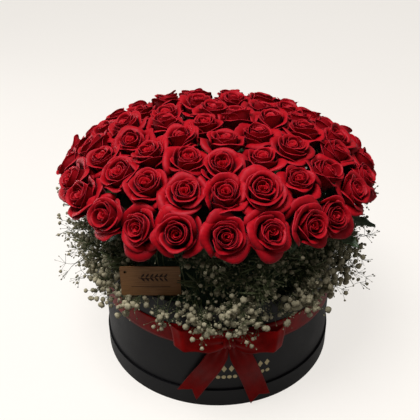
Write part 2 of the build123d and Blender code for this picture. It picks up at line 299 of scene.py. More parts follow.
# -------------------------------------------------------------------------------------- material helpers
class Nodes:
    """A node tree and short ways to fill it, where a value is a socket, a number or a colour."""

    def __init__(self, tree):
        self.nodes, self.links = tree.nodes, tree.links

    def join(self, value, socket):
        if isinstance(value, bpy.types.NodeSocket):
            self.links.new(value, socket)
        else:
            socket.default_value = (*value, 1.0) if socket.type == "RGBA" else value

    def add(self, kind, **settings):
        """A shader node with its inputs, given by name with spaces as underscores, or its own settings."""
        node = self.nodes.new("ShaderNode" + kind)
        for key, value in settings.items():
            socket = next((s for s in node.inputs if s.name == key.replace("_", " ")), None)
            if socket is not None and not hasattr(node, key):
                self.join(value, socket)
            else:
                setattr(node, key, value)
        return node

    def attribute(self, name):
        return self.add("Attribute", attribute_name=name).outputs["Fac"]

    def place(self):
        return self.add("TexCoord").outputs["Object"]

    def maths(self, operation, *values):
        node = self.add("Math", operation=operation)
        for value, socket in zip(values, node.inputs):
            self.join(value, socket)
        return node.outputs[0]

    def mix(self, factor, first, second):
        node = self.add("Mix", data_type="RGBA")
        for value, index in ((factor, 0), (first, 6), (second, 7)):
            self.join(value, node.inputs[index])
        return node.outputs[2]

    def spread(self, value, low, high, to_low, to_high):
        node = self.add("MapRange", Value=value, From_Min=low, From_Max=high, To_Min=to_low, To_Max=to_high)
        return node.outputs["Result"]

    def share(self, value, to_low, to_high):
        return self.spread(value, 0.0, 1.0, to_low, to_high)

    def group(self, tree, **values):
        node = self.nodes.new("ShaderNodeGroup")
        node.node_tree = tree
        for key, value in values.items():
            self.join(value, node.inputs[key.replace("_", " ")])
        return node


class Finish(Nodes):
    """A material whose Principled inputs are fed by name."""

    def __init__(self, name):
        self.material = bpy.data.materials.new(name)
        self.material.use_nodes = True
        super().__init__(self.material.node_tree)
        self.shader = self.nodes["Principled BSDF"]

    def feed(self, **values):
        for key, value in values.items():
            self.join(value, self.shader.inputs[key.replace("_", " ")])

    def bump(self, height, strength, distance):
        bump = self.add("Bump", Height=height, Strength=strength, Distance=distance)
        self.feed(Normal=bump.outputs["Normal"])

    def mottle(self, scales, colour, lighter, rough, strength=0.0, distance=0.0):
        """Grain in colour, roughness and, with a strength, bump; gives back the mottled colour."""
        grain = self.group(grain_group(), Fine_Scale=scales[0], Broad_Scale=scales[1])
        mottled = self.mix(grain.outputs["Mask"], colour, lighter)
        self.feed(Base_Color=mottled, Roughness=self.share(grain.outputs["Mask"], *rough))
        if strength:
            self.bump(grain.outputs["Height"], strength, distance)
        return mottled


def scaled(colour, factor, added=0.0):
    return tuple(factor * part + added for part in colour)


def new_group(name, inputs, outputs):
    """A node group with float inputs, given with their defaults, and float outputs."""
    tree = bpy.data.node_groups.new(name, "ShaderNodeTree")
    for key, value in inputs.items():
        tree.interface.new_socket(key, in_out="INPUT", socket_type="NodeSocketFloat").default_value = value
    for key in outputs:
        tree.interface.new_socket(key, in_out="OUTPUT", socket_type="NodeSocketFloat")
    given, out = tree.nodes.new("NodeGroupInput").outputs, tree.nodes.new("NodeGroupOutput").inputs
    return tree, Nodes(tree), given, out


def grain_group():
    """Fine grain in two sizes: a mask for colour and roughness, and a height for bump."""
    if "Fine grain" in bpy.data.node_groups:
        return bpy.data.node_groups["Fine grain"]
    tree, grain, given, out = new_group(
        "Fine grain", {"Fine Scale": 900.0, "Broad Scale": 20.0}, ("Mask", "Height"))
    place = grain.place()
    fine = grain.add("TexNoise", Vector=place, Scale=given["Fine Scale"], Detail=4.0, Roughness=0.6)
    broad = grain.add("TexNoise", Vector=place, Scale=given["Broad Scale"], Detail=3.0, Roughness=0.5)
    mask = grain.maths("MULTIPLY_ADD", fine.outputs["Fac"], 0.4, broad.outputs["Fac"])
    grain.join(grain.spread(mask, 0.45, 0.95, 0.0, 1.0), out["Mask"])
    grain.join(fine.outputs["Fac"], out["Height"])
    return tree


def vein_group():
    """Fine veins that run along a petal or leaf and fan out across it, from its own along and across."""
    if "Plant veins" in bpy.data.node_groups:
        return bpy.data.node_groups["Plant veins"]
    tree, veins, given, out = new_group(
        "Plant veins", {"Vein Count": 26.0, "Waver": 1.5}, ("Vein", "Blotch"))
    place = veins.place()
    noise = veins.add("TexNoise", Vector=place, Scale=260.0, Detail=3.0)
    fanned = veins.maths("MULTIPLY", veins.attribute("across"), given["Vein Count"])
    bend = veins.maths("MULTIPLY_ADD", noise.outputs["Fac"], given["Waver"], fanned)
    half = veins.spread(veins.maths("SINE", bend), -1.0, 1.0, 0.0, 1.0)
    veins.join(veins.maths("MULTIPLY", half, veins.attribute("along")), out["Vein"])
    blotch = veins.add("TexNoise", Vector=place, Scale=70.0, Detail=2.0)
    veins.join(veins.spread(blotch.outputs["Fac"], 0.3, 0.7, 0.0, 1.0), out["Blotch"])
    return tree


def paper_material(name, colour, lighter, roughness, strength=0.25):
    """Matt board or covering paper: broad clouding in the colour, fine tooth in roughness and bump."""
    paper = Finish(name)
    paper.mottle((1400.0, 24.0), colour, lighter, (roughness - 0.06, roughness + 0.08), strength, 0.0004)
    paper.feed(Specular_IOR_Level=0.3)
    return paper.material


def satin_material(colour):
    """Satin ribbon: long floats across the width, so it glints in soft bands, with finer ribs in bump, and
    painted light that makes the band and loops lighter than the tails.
    """
    satin = Finish("Red satin")
    rib = satin.spread(satin.maths("SINE", satin.maths("MULTIPLY", satin.attribute("along"), 9000.0)),
                       -1.0, 1.0, 0.0, 1.0)
    grain = satin.group(grain_group(), Fine_Scale=1100.0, Broad_Scale=60.0)
    darker = scaled(colour, 0.62)
    # face carries painted light: the tone attribute lightens the band and loops as if lit and leaves the
    # tails darker as painted shade
    face = satin.mix(satin.attribute("tone"), colour, scaled(colour, 1.45))
    base = satin.mix(grain.outputs["Mask"], darker, face)
    edge = satin.maths("ABSOLUTE", satin.attribute("across"))
    selvedge = satin.spread(edge, 0.93, 0.97, 0.0, 1.0)
    satin.feed(Base_Color=satin.mix(selvedge, base, darker), Roughness=satin.share(rib, 0.30, 0.42),
               Sheen_Weight=0.06, Sheen_Roughness=0.35, Sheen_Tint=(1.0, 0.08, 0.06),
               Specular_IOR_Level=0.34, Specular_Tint=(1.0, 0.07, 0.05))
    satin.bump(rib, 0.2, 0.00008)
    return satin.material


def petal_material(settings):
    """Velvet petals: dark at the foot as painted shade, blood red at the lip with a painted pinkish
    highlight on the rim, faint veins, each petal a little different.
    """
    petal = Finish("Rose petal")
    along = petal.attribute("along")
    veins = petal.group(vein_group(), Vein_Count=34.0, Waver=2.0)
    # painted shade: the colour darkens from the lip down to the foot, where the petals lie deep between each
    # other
    depth = petal.spread(along, 0.30, 0.80, 0.0, 1.0)
    red = petal.mix(depth, settings.painted_shade_colour[:], settings.lit_colour[:])
    for factor, towards in (
            (petal.maths("MULTIPLY", petal.attribute("tone"), 0.55), scaled(settings.lit_colour, 0.55)),
            (petal.maths("MULTIPLY", veins.outputs["Vein"], 0.22), (0.16, 0.001, 0.006)),
            # painted highlight: a lighter pinkish rim along each petal's lip
            (petal.spread(along, 0.955, 1.0, 0.0, 0.45), (0.52, 0.03, 0.055))):
        red = petal.mix(factor, red, towards)
    petal.feed(Base_Color=red, Roughness=petal.share(veins.outputs["Blotch"], 0.46, 0.64),
               Sheen_Weight=0.08, Sheen_Roughness=0.3, Sheen_Tint=(1.0, 0.3, 0.4),
               Specular_IOR_Level=0.28, Specular_Tint=(1.0, 0.45, 0.55))
    petal.bump(veins.outputs["Vein"], 0.35, 0.00025)
    return petal.material


def plant_material(name, colour, lighter, roughness, scale=300.0):
    """Green or cream plant tissue with soft mottling and a little bump."""
    tissue = Finish(name)
    tissue.mottle((scale * 4, scale), colour, lighter, (roughness, roughness + 0.12), 0.4, 0.0003)
    return tissue.material


def floret_material(settings):
    """Gypsophila florets: cream when they are open, greyer and greener where they are still in bud, and
    mixed towards the same dark colour as painted shade in the tier under the roses.
    """
    floret = Finish("Gypsophila floret")
    cream = floret.mottle((2200.0, 420.0), scaled(settings.floret_colour, 0.72), settings.floret_colour[:],
                          (0.65, 0.85), 0.4, 0.0003)
    floret.feed(Base_Color=floret.mix(floret.attribute("tone"), cream, settings.bud_and_shade_colour[:]))
    return floret.material


def leaf_material():
    """Rose leaf: dark waxy green with a paler midrib and side veins."""
    leaf = Finish("Rose leaf")
    middle = leaf.maths("ABSOLUTE", leaf.attribute("across"))
    slant = leaf.maths("MULTIPLY_ADD", middle, -16.0, leaf.maths("MULTIPLY", leaf.attribute("along"), 46.0))
    side = leaf.spread(leaf.maths("SINE", slant), 0.82, 1.0, 0.0, 0.6)
    both = leaf.maths("MAXIMUM", side, leaf.spread(middle, 0.0, 0.06, 1.0, 0.0))
    green = leaf.mottle((900.0, 90.0), (0.012, 0.030, 0.010), (0.026, 0.060, 0.018), (0.34, 0.5))
    leaf.feed(Base_Color=leaf.mix(both, green, (0.075, 0.12, 0.04)))
    leaf.bump(both, 0.5, -0.0004)
    return leaf.material


def wood_material(name, colour, darker, roughness=0.55):
    """Thin veneer: long grain across the piece with pores and slow colour drift."""
    wood = Finish(name)
    stretched = wood.add("Mapping", Vector=wood.place(), Scale=(14.0, 60.0, 320.0)).outputs[0]
    fibre = wood.add("TexNoise", Vector=stretched, Scale=2.6, Detail=7.0, Roughness=0.62, Distortion=0.6)
    streak = wood.spread(fibre.outputs["Fac"], 0.36, 0.66, 0.0, 1.0)
    wood.feed(Base_Color=wood.mix(streak, colour, darker),
              Roughness=wood.share(streak, roughness, roughness + 0.15))
    wood.bump(fibre.outputs["Fac"], 0.3, 0.0003)
    return wood.material


def foil_material(colour):
    """Hot-stamped foil: brushed gold with tiny breaks in its shine."""
    foil = Finish("Stamped foil")
    foil.mottle((2200.0, 160.0), scaled(colour, 0.7), colour, (0.32, 0.52), 0.15, 0.0001)
    foil.feed(Metallic=0.75)
    return foil.material


def foam_material():
    """Wet floral foam: deep green, crumbly, with open pores."""
    foam = Finish("Floral foam")
    pores = foam.add("TexVoronoi", Vector=foam.place(), Scale=700.0).outputs["Distance"]
    hole = foam.spread(pores, 0.1, 0.6, 0.0, 1.0)
    foam.feed(Base_Color=foam.mix(hole, (0.004, 0.014, 0.006), (0.018, 0.052, 0.022)),
              Roughness=foam.share(hole, 0.95, 0.8))
    foam.bump(pores, 0.6, 0.0008)
    return foam.material


def film_material():
    """Liner cup: thin dull green plastic with faint scuffs."""
    film = Finish("Liner plastic")
    film.mottle((500.0, 14.0), (0.10, 0.13, 0.10), (0.17, 0.20, 0.16), (0.25, 0.42), 0.1, 0.0003)
    return film.material


def dress(node, material):
    """Gives a CAD node its finish."""
    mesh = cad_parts[node].data
    mesh.materials.clear()
    mesh.materials.append(material)


# ---------------------------------------------------------------------------------------- the operators
class FLOWERBOX_OT_stage(bpy.types.Operator):
    """Lays the pale floor and sets the soft lights and the camera"""
    bl_idname = "flowerbox.stage"
    bl_label = "Stage"

    def execute(self, context):
        settings = context.scene.flowerbox_stage
        scene = context.scene
        scene.view_settings.view_transform = "Standard"
        lens = bpy.data.cameras.new("Camera")
        lens.lens = settings.lens
        lens.sensor_width = 36.0
        lens.shift_x = -0.018
        camera = bpy.data.objects.new("Camera", lens)
        camera.location = (0.0, -settings.camera_reach, settings.camera_height)
        camera.rotation_euler = (math.pi / 2 - settings.camera_dip, 0.0, 0.0)
        scene.collection.objects.link(camera)
        scene.camera = camera
        bpy.ops.mesh.primitive_plane_add(size=60.0)
        floor = context.object
        floor.name = "floor"
        pale = Finish("Pale floor")
        grain = pale.group(grain_group(), Fine_Scale=60.0, Broad_Scale=2.0)
        seen = pale.add("LightPath").outputs
        glow = pale.maths("MULTIPLY_ADD", seen["Is Glossy Ray"], 0.20, seen["Is Camera Ray"])
        pale.feed(Base_Color=pale.mix(grain.outputs["Mask"], scaled(settings.floor_colour, 0.22),
                                      scaled(settings.floor_colour, 0.235)),
                  Roughness=0.9, Emission_Color=settings.floor_colour[:],
                  Emission_Strength=pale.share(glow, 0.0, settings.floor_glow))
        floor.data.materials.append(pale.material)
        world = bpy.data.worlds.new("Soft room")
        world.use_nodes = True
        room = Nodes(world.node_tree)
        back = room.nodes["Background"].inputs
        room.join(settings.floor_colour[:], back["Color"])
        room.join(room.share(room.add("LightPath").outputs["Is Camera Ray"], 0.20, 1.0), back["Strength"])
        scene.world = world
        for name, place, size, power in (
                ("Overhead softbox", (-0.40, -0.40, 2.0), 1.0, 42.0),
                ("Left softbox", (-1.7, 0.70, 0.26), 0.8, 15.0),
                ("Right softbox", (1.9, -0.7, 0.8), 0.5, 2.5)):
            data = bpy.data.lights.new(name, "AREA")
            data.shape = "DISK"
            data.size = size
            data.energy = power
            lamp = bpy.data.objects.new(name, data)
            lamp.location = place
            aim = Vector((0.0, 0.0, 0.18)) - lamp.location
            lamp.rotation_euler = aim.to_track_quat("-Z", "Y").to_euler()
            scene.collection.objects.link(lamp)
        return {"FINISHED"}


class FLOWERBOX_OT_box(bpy.types.Operator):
    """Covers the box and its lid in black paper and shows the greyboard where it is bare"""
    bl_idname = "flowerbox.box"
    bl_label = "Box and lid"

    def execute(self, context):
        settings = context.scene.flowerbox_box
        black = paper_material("Black paper", settings.paper_colour[:],
                               scaled(settings.paper_colour, 1.8, 0.002), 0.42)
        grey = paper_material("Greyboard", (0.20, 0.185, 0.165), (0.30, 0.28, 0.25), 0.85, 0.5)
        for node in ("box_wrap", "lid_wrap"):
            dress(node, black)
        for node in ("box_wall", "box_base", "lid_rim", "lid_board"):
            dress(node, grey)
        return {"FINISHED"}


def wall_point(turn, radius, level):
    return np.array([radius * math.sin(turn), -radius * math.cos(turn), level])


class FLOWERBOX_OT_ornament(bpy.types.Operator):
    """Stamps two rows of plain gold shapes on the front of the wall"""
    bl_idname = "flowerbox.ornament"
    bl_label = "Foil ornament"

    def execute(self, context):
        settings = context.scene.flowerbox_box
        foil = foil_material(settings.foil_colour[:])
        middle_turn = math.radians(8.0)
        proud = 0.00012
        for name, level, count, tall, wide, sides in (
                ("foil_row_upper", 0.0700, 10, 0.0125, 0.0080, 4),
                ("foil_row_lower", 0.0545, 13, 0.0064, 0.0064, 16)):
            shape = Shape()
            for index in range(count):
                turn = middle_turn + (index - (count - 1) / 2) * settings.ornament_width / count / BOX_RADIUS
                rings = []
                for lift in (-0.0001, proud):
                    for step in range(sides):
                        angle = FULL_TURN * step / sides
                        rings.append(wall_point(turn + wide / 2 * math.cos(angle) / BOX_RADIUS,
                                                BOX_RADIUS + lift, level + tall / 2 * math.sin(angle)))
                rings.append(wall_point(turn, BOX_RADIUS + proud, level))
                rings.append(wall_point(turn, BOX_RADIUS - 0.0001, level))
                faces = []
                for step in range(sides):
                    after = (step + 1) % sides
                    faces.append([step, after, sides + after, sides + step])
                    faces.append([sides + step, sides + after, 2 * sides, 2 * sides])
                    faces.append([after, step, 2 * sides + 1, 2 * sides + 1])
                faces = [face if face[2] != face[3] else face[:3] for face in faces]
                shape.verts.append(np.array(rings))
                shape.faces.extend([[corner + shape.count for corner in face] for face in faces])
                shape.count += len(rings)
            shape.build(name, foil, "box", "covering_paper", smooth=False)
        return {"FINISHED"}


def ribbon_piece(name, line, width_ways, width, thickness, material, replaces, columns=9, cup=0.0,
                 notch=0.0, narrow=None, pleat=None, tone=1.0):
    """A closed strip of satin along line; width_ways are the unit directions across it at each point,
    narrow is the share of its width left where it is gathered, and pleat the depth of the gathers."""
    line = np.asarray(line, float)
    ways = np.asarray(width_ways, float)
    ways = ways / np.linalg.norm(ways, axis=1, keepdims=True)
    heading = np.gradient(line, axis=0)
    faced = np.cross(ways, heading)
    faced /= np.maximum(np.linalg.norm(faced, axis=1, keepdims=True), 1e-12)
    across = np.linspace(-1.0, 1.0, columns)
    breadth = np.full(len(line), width / 2) if narrow is None else width / 2 * np.asarray(narrow)
    points = (line[:, None] + ways[:, None] * (across[None, :, None] * breadth[:, None, None])
              + faced[:, None] * ((across ** 2 - 0.4)[None, :, None] * cup))
    if pleat is not None:
        fold = np.sin(2.5 * math.pi * across + 0.6)[None, :, None]
        points = points + faced[:, None] * fold * np.asarray(pleat)[:, None, None]
    length = np.concatenate([[0.0], np.cumsum(np.linalg.norm(np.diff(line, axis=0), axis=1))])
    if notch:
        pull = np.clip((length - (length[-1] - 2.2 * notch)) / (2.2 * notch), 0.0, 1.0)
        back = heading / np.maximum(np.linalg.norm(heading, axis=1, keepdims=True), 1e-12)
        middle = (1 - np.abs(across))[None, :, None]
        points = points - back[:, None] * (middle * (pull * notch)[:, None, None])
    verts, faces = closed_sheet(points, thickness)
    shape = Shape()
    along = np.tile(np.repeat(length, columns), 2)
    # tone is painted light on the satin: 1 on the lit band and loops, 0.4 on the tails painted in shade
    shape.add(verts, faces, along=along, across=np.tile(across, 2 * len(line)), tone=tone)
    piece = shape.build(name, material, "box", "satin_ribbon", replaces)
    return piece, float(length[-1])


class FLOWERBOX_OT_ribbon(bpy.types.Operator):
    """Ties the satin band round the wall and the bow in front of it"""
    bl_idname = "flowerbox.ribbon"
    bl_label = "Ribbon and bow"

    def execute(self, context):
        settings = context.scene.flowerbox_ribbon
        width, thickness = settings.width, settings.thickness
        satin = satin_material(settings.colour[:])
        slope = math.tan(math.radians(1.6))
        band_level = (BAND_LOW.z + BAND_HIGH.z) / 2
        turns = np.linspace(0.0, FULL_TURN, 181) + KNOT_TURN
        radius = BOX_RADIUS + 0.00045
        line = [wall_point(turn, radius, band_level - slope * radius * math.sin(turn)
                           + 0.0006 * math.sin(5 * turn)) for turn in turns]
        band, length = ribbon_piece("satin_band", line, [(0, 0, 1)] * len(line), width, thickness, satin,
                                    ["ribbon_band"])
        out = np.array([math.sin(KNOT_TURN), -math.cos(KNOT_TURN), 0.0])
        side = np.array([math.cos(KNOT_TURN), math.sin(KNOT_TURN), 0.0])
        up = np.array([0.0, 0.0, 1.0])
        knot = out * 0.1905 + up * (KNOT.z + 0.008)
        self.loops(knot, out, side, up, width, thickness, satin)
        self.tails(out, side, width, thickness, satin)
        self.knot(knot, out, side, up, width, thickness, satin)
        return {"FINISHED"}

    def loops(self, knot, out, side, up, width, thickness, satin):
        """Each loop bulges forward from the knot, folds softly at its end and runs back along the wall."""
        reach = 0.073
        for name, sign, lift, dip in (("left", -1.0, 0.0122, 0.0030), ("right", 1.0, 0.0010, 0.0050)):
            steps = np.linspace(0.0, 1.0, 81)
            line, ways = [], []
            for step in steps:
                swing = FULL_TURN * step
                go = reach * 0.5 * (1 - math.cos(swing))
                far = go / reach
                front = math.sin(swing)
                away = (0.0100 * front if front > 0 else 0.0035 * front) * (0.50 + 0.50 * far)
                away -= 0.0055 * far ** 2
                crease = 0.0034 * math.exp(-((far - 0.82) / 0.08) ** 2) - 0.0026 * math.exp(
                    -((far - 0.56) / 0.14) ** 2)
                away += crease if front > 0 else 0.0
                lean = math.radians(17.0) * (1.0 if front > 0 else 0.6) * (0.30 + 0.70 * far)
                drop = -dip * math.sin(math.pi * far) + lift * far
                line.append(knot + side * (sign * (go + 0.003)) + out * away + up * drop)
                ways.append(up * math.cos(lean) - out * math.sin(lean) + side * (0.16 * sign * far))
            pinch = 0.46 + 0.54 * np.clip(np.sin(np.pi * steps) * 1.7, 0.0, 1.0)
            pleat = 0.0016 * np.clip(1.0 - np.sin(np.pi * steps) * 1.25, 0.0, 1.0)
            piece, length = ribbon_piece("satin_loop_" + name, line, ways, width, thickness, satin,
                                         ["bow_loop_" + name], columns=21, cup=0.0010, narrow=pinch,
                                         pleat=pleat)

    def tails(self, out, side, width, thickness, satin):
        """The tails fall in front of the wall and over the lid's edge, each cut to a swallow tail."""
        for name, tilt, length, start, cut in (
                ("left", -28.0, 0.113, -0.004, 0.014), ("right", 19.0, 0.119, 0.007, 0.009)):
            lean = math.radians(tilt)
            line, ways, narrow, pleat = [], [], [], []
            for step in np.linspace(0.0, 1.0, 61):
                run = length * step
                along_side = start + run * math.sin(lean) + 0.002 * math.sin(3.0 * step)
                level = KNOT.z - 0.001 - run * math.cos(lean)
                turn = KNOT_TURN + along_side / BOX_RADIUS
                radius = LID_RADIUS + 0.0014 + 0.0040 * math.sin(4.2 * step) ** 2 + 0.003 * step
                line.append(wall_point(turn, radius, level))
                twist = 0.55 * math.exp(-step * 6.0) * (1 if name == "right" else -0.7)
                across = np.array([math.cos(turn), math.sin(turn), 0.0])
                outward = np.array([math.sin(turn), -math.cos(turn), 0.0])
                way = across * math.cos(lean) + np.array([0.0, 0.0, math.sin(lean)])
                ways.append(way + outward * twist)
                narrow.append(0.46 + 0.54 * min(1.0, (step * 4.2 + 0.05) ** 0.7))
                pleat.append(0.0014 * max(0.0, 1.0 - 4.0 * step) + 0.0003 * math.sin(7.0 * step))
            # tone 0.4 paints the tails darker, as painted shade
            piece, real = ribbon_piece("satin_tail_" + name, line, ways, width, thickness, satin,
                                       ["bow_tail_" + name], columns=21, notch=cut, narrow=narrow,
                                       cup=0.0008, pleat=pleat, tone=0.4)

    def knot(self, knot, out, side, up, width, thickness, satin):
        """A short gathered turn of ribbon that wraps the middle of the bow."""
        line, ways, narrow = [], [], []
        for step in np.linspace(0.0, 1.0, 49):
            swing = FULL_TURN * step + math.pi
            line.append(knot + out * (0.0058 * math.cos(swing) - 0.0005)
                        + up * (0.0090 * math.sin(swing) - 0.0035))
            ways.append(side + up * 0.12 * math.sin(swing))
            narrow.append(0.50 + 0.05 * math.cos(2 * swing))
        piece, length = ribbon_piece("satin_knot", line, ways, width, thickness, satin, ["bow_knot"],
                                     columns=25, cup=-0.0018, narrow=narrow, pleat=[0.0013] * len(line))


def petal_points(spec, rng, rows=15, columns=13):
    """Grid of one petal: it swells from the foot, leans out to its lip and rolls over to a soft point."""
    across = np.linspace(-1.0, 1.0, columns)
    edge = np.abs(across)
    lip_rows = 6
    tip = np.exp(-(across / 0.34) ** 2)
    height = spec["height"] * (1 - 0.05 * edge ** 2 - 0.20 * edge ** 6) + spec["tilt"] * across
    lip = spec["lip"] + spec["flare"] * edge ** 3
    start = np.array([0.0035, 0.003])
    swell = spec["belly"]
    wave = rng.uniform(0, FULL_TURN, 4)
    level = np.linspace(0.0, 1.0, rows)
    widen = 0.46 + 0.54 * np.sin(np.minimum(level * 1.3, 1.0) * math.pi / 2)
    points = np.zeros((rows, columns, 3))
    for column in range(columns):
        top = np.array([lip[column], height[column]])
        low = np.array([swell * 1.02, height[column] * 0.08])
        high = np.array([swell * 1.06, height[column] * 0.70])
        profile = []
        for step in np.linspace(0.0, 1.0, rows - lip_rows):
            rest = 1 - step
            profile.append(rest ** 3 * start + 3 * rest * rest * step * low + 3 * rest * step * step * high
                           + step ** 3 * top)
        lean = math.atan2(top[0] - high[0], top[1] - high[1])
        roll = spec["roll"] * (1 - 0.45 * spec["point"] * tip[column]) * (1 - 0.2 * edge[column] ** 4)
        curl = spec["curl"] * (1 + 0.9 * spec["point"] * tip[column]) * (1 - 0.35 * edge[column] ** 3)
        spot = top.copy()
        for step in range(lip_rows):
            turn = lean + roll * (step + 0.5) / lip_rows
            spot = spot + curl * roll / lip_rows * np.array([math.sin(turn), math.cos(turn)])
            profile.append(spot.copy())
        profile = np.array(profile)
        angle = spec["turn"] + across[column] * spec["half"] * widen + spec["twist"] * level
        bend = math.sin(4.1 * across[column] + wave[0]) + 0.6 * math.sin(7.3 * across[column] + wave[1])
        radius = profile[:, 0] + spec["wind"] * across[column] + spec["ripple"] * level ** 3 * bend
        points[:, column, 0] = radius * np.cos(angle)
        points[:, column, 1] = radius * np.sin(angle)
        points[:, column, 2] = profile[:, 1] + 0.8 * spec["ripple"] * level ** 3 * math.sin(
            5.2 * across[column] + wave[2])
    return points, across


def heart_points(rng, height, turns=2.3, rows=8, columns=60):
    """The furled heart: one long petal wound into a loose cone with its lip turned out."""
    points = np.zeros((rows, columns, 3))
    first = rng.uniform(0, FULL_TURN)
    squeeze = rng.uniform(0.78, 1.0)
    for column, step in enumerate(np.linspace(0.0, 1.0, columns)):
        turn = first + FULL_TURN * turns * step
        reach = 0.0010 + 0.0068 * step ** 0.9
        top = height * (0.93 + 0.045 * math.sin(1.7 * turn + first)) + 0.0015 * step
        for row, level in enumerate(np.linspace(0.0, 1.0, rows)):
            narrow = 1.0 - 0.30 * max(0.0, level - 0.55) / 0.45
            out = 0.0016 * max(0.0, (level - 0.82) / 0.18) ** 2
            radius = reach * narrow * (0.9 + 0.35 * math.sin(math.pi * min(level, 0.75))) + out
            points[row, column] = (radius * math.cos(turn), squeeze * radius * math.sin(turn),
                                   0.006 + (top - 0.006) * level)
    return points, np.linspace(-1.0, 1.0, columns)


def rose_shape(rng, radius, height, petals):
    """One open rose along +Z from its foot: the heart, then petals wound round it at the golden turn."""
    shape = Shape()
    opened = rng.uniform(0.80, 1.12)
    points, across = heart_points(rng, height)
    verts, faces = closed_sheet(points, 0.0005)
    level = np.repeat(np.linspace(0.20, 0.90, points.shape[0]), points.shape[1])
    shape.add(verts, faces, along=np.tile(level, 2), across=np.tile(across, 2 * points.shape[0]),
              tone=rng.uniform(0.1, 0.5))
    first = rng.uniform(0, FULL_TURN)
    count = petals + int(rng.integers(-2, 3))
    drift = rng.normal(0, 0.0011, 2)
    for index in range(count):
        share = index / (count - 1)
        lip = 0.0082 + (radius * 0.78 - 0.0082) * share ** 0.95 * (0.78 + 0.22 * opened)
        lip += rng.normal(0, 0.0004 + 0.0014 * share)
        spec = {
            "belly": lip * (1.02 - 0.26 * share * opened),
            "lip": lip,
            "height": height * (0.96 + 0.035 * math.sin(math.pi * min(1.0, share * 1.5))
                                - 0.38 * opened * share ** 1.8) + rng.normal(0, 0.0016),
            "roll": math.radians(34 + 58 * share ** 0.7 * opened + rng.normal(0, 17)
                                 + (24 if share > 0.8 else 0)),
            "curl": 0.0017 + 0.0052 * share + rng.normal(0, 0.0005),
            "half": math.radians(100 - 42 * share + rng.normal(0, 6)),
            "turn": first + index * GOLDEN_TURN + rng.normal(0, 0.22),
            "twist": rng.normal(0.0, 0.14),
            "tilt": rng.normal(0.0, 0.0025),
            "flare": -0.0014 + 0.0020 * share,
            "point": rng.uniform(0.35, 1.15) * (0.35 + 0.65 * share),
            "wind": 0.0012 * (0.4 + share),
            "ripple": 0.0004 + 0.0013 * share,
        }
        points, across = petal_points(spec, rng)
        points[:, :, :2] += drift * (1 - share) ** 2 * 2.0
        level = np.linspace(0.0, 1.0, points.shape[0])
        thick = 0.00035 + 0.00035 * (1 - level)[:, None] * np.ones(points.shape[1])
        verts, faces = closed_sheet(points, thick)
        shape.add(verts, faces, along=np.tile(np.repeat(level, points.shape[1]), 2),
                  across=np.tile(across, 2 * points.shape[0]), tone=rng.uniform(0.0, 1.0))
    return shape


class FLOWERBOX_OT_roses(bpy.types.Operator):
    """Opens a rose on every head of the dome"""
    bl_idname = "flowerbox.roses"
    bl_label = "Roses"

    def execute(self, context):
        settings = context.scene.flowerbox_rose
        velvet = petal_material(settings)
        green = plant_material("Rose green", (0.016, 0.034, 0.010), (0.035, 0.065, 0.020), 0.5)
        for node in sorted(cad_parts):
            if node.startswith("rose_stems"):
                dress(node, green)
        groups = [node for node in sorted(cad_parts) if node.startswith("rose_heads")]
        for order, node in enumerate(groups):
            places = head_places(node)
            sepals = Shape()
            for index, (foot, axis) in enumerate(places):
                rng = np.random.default_rng(SEED + 100 * (order + 1) + index)
                size = rng.uniform(0.93, 1.07)
                rose = rose_shape(rng, settings.bloom_radius * size, settings.bloom_height * size,
                                  settings.petals)
                lean = Vector(axis) + Vector(rng.normal(0, 0.09, 3))
                lean.normalize()
                foot = np.array(foot) - np.array([0.0, 0.0, 0.005 * min(1.0, max(0.0, foot[1] / 0.12))])
                rose.verts = [turned(verts, foot, lean, 0.0) for verts in rose.verts]
                covered = [node] if index == 0 else []
                name = node.replace("rose_heads", "rose") + "_" + str(index + 1).zfill(2)
                rose.build(name, velvet, "arrangement", "rose_petal", covered)
                self.add_sepals(sepals, foot, axis, rng)
                self.add_leaflets(sepals, foot, axis, rng)
            sepals.build(node.replace("rose_heads", "rose_sepals"), green, "arrangement", "rose_stem")
        return {"FINISHED"}

    def add_leaflets(self, shape, foot, axis, rng):
        """Dark stem leaves that stand out from the neck and fill the gaps between the heads."""
        for index in range(5):
            level = np.linspace(0.0, 1.0, 9)
            across = np.linspace(-1.0, 1.0, 5)
            length = rng.uniform(0.024, 0.038)
            width = 0.0110 * np.sin(np.pi * np.clip(level, 0.03, 0.98) ** 0.85)
            droop = rng.uniform(-0.004, 0.007)
            points = np.stack([(0.004 + length * level)[:, None] * np.ones(5), width[:, None] * across,
                               0.002 * np.abs(across) - droop * (level ** 2)[:, None] - 0.002], 2)
            verts, faces = closed_sheet(points, 0.0004)
            verts = turned(verts, foot, axis, FULL_TURN * index / 5 + rng.normal(0, 0.25))
            shape.add(verts, faces)

    def add_sepals(self, shape, foot, axis, rng):
        """Five narrow green sepals that hang back from under the head."""
        for index in range(5):
            level = np.linspace(0.0, 1.0, 6)
            width = 0.0036 * np.sin(np.pi * np.minimum(0.28 + 0.72 * level, 0.999)) ** 0.8
            across = np.linspace(-1.0, 1.0, 3)
            droop = rng.uniform(0.2, 1.1)
            reach = 0.006 + 0.016 * level
            fall = 0.004 - 0.014 * droop * level ** 1.6 + 0.004 * level
            points = np.stack([reach[:, None] * np.ones(3), width[:, None] * across,
                               (fall[:, None] + 0.0008 * across ** 2)], 2)
            verts, faces = closed_sheet(points, 0.0005)
            verts = turned(verts, foot, axis, FULL_TURN * index / 5 + rng.normal(0, 0.15))
            shape.add(verts, faces)


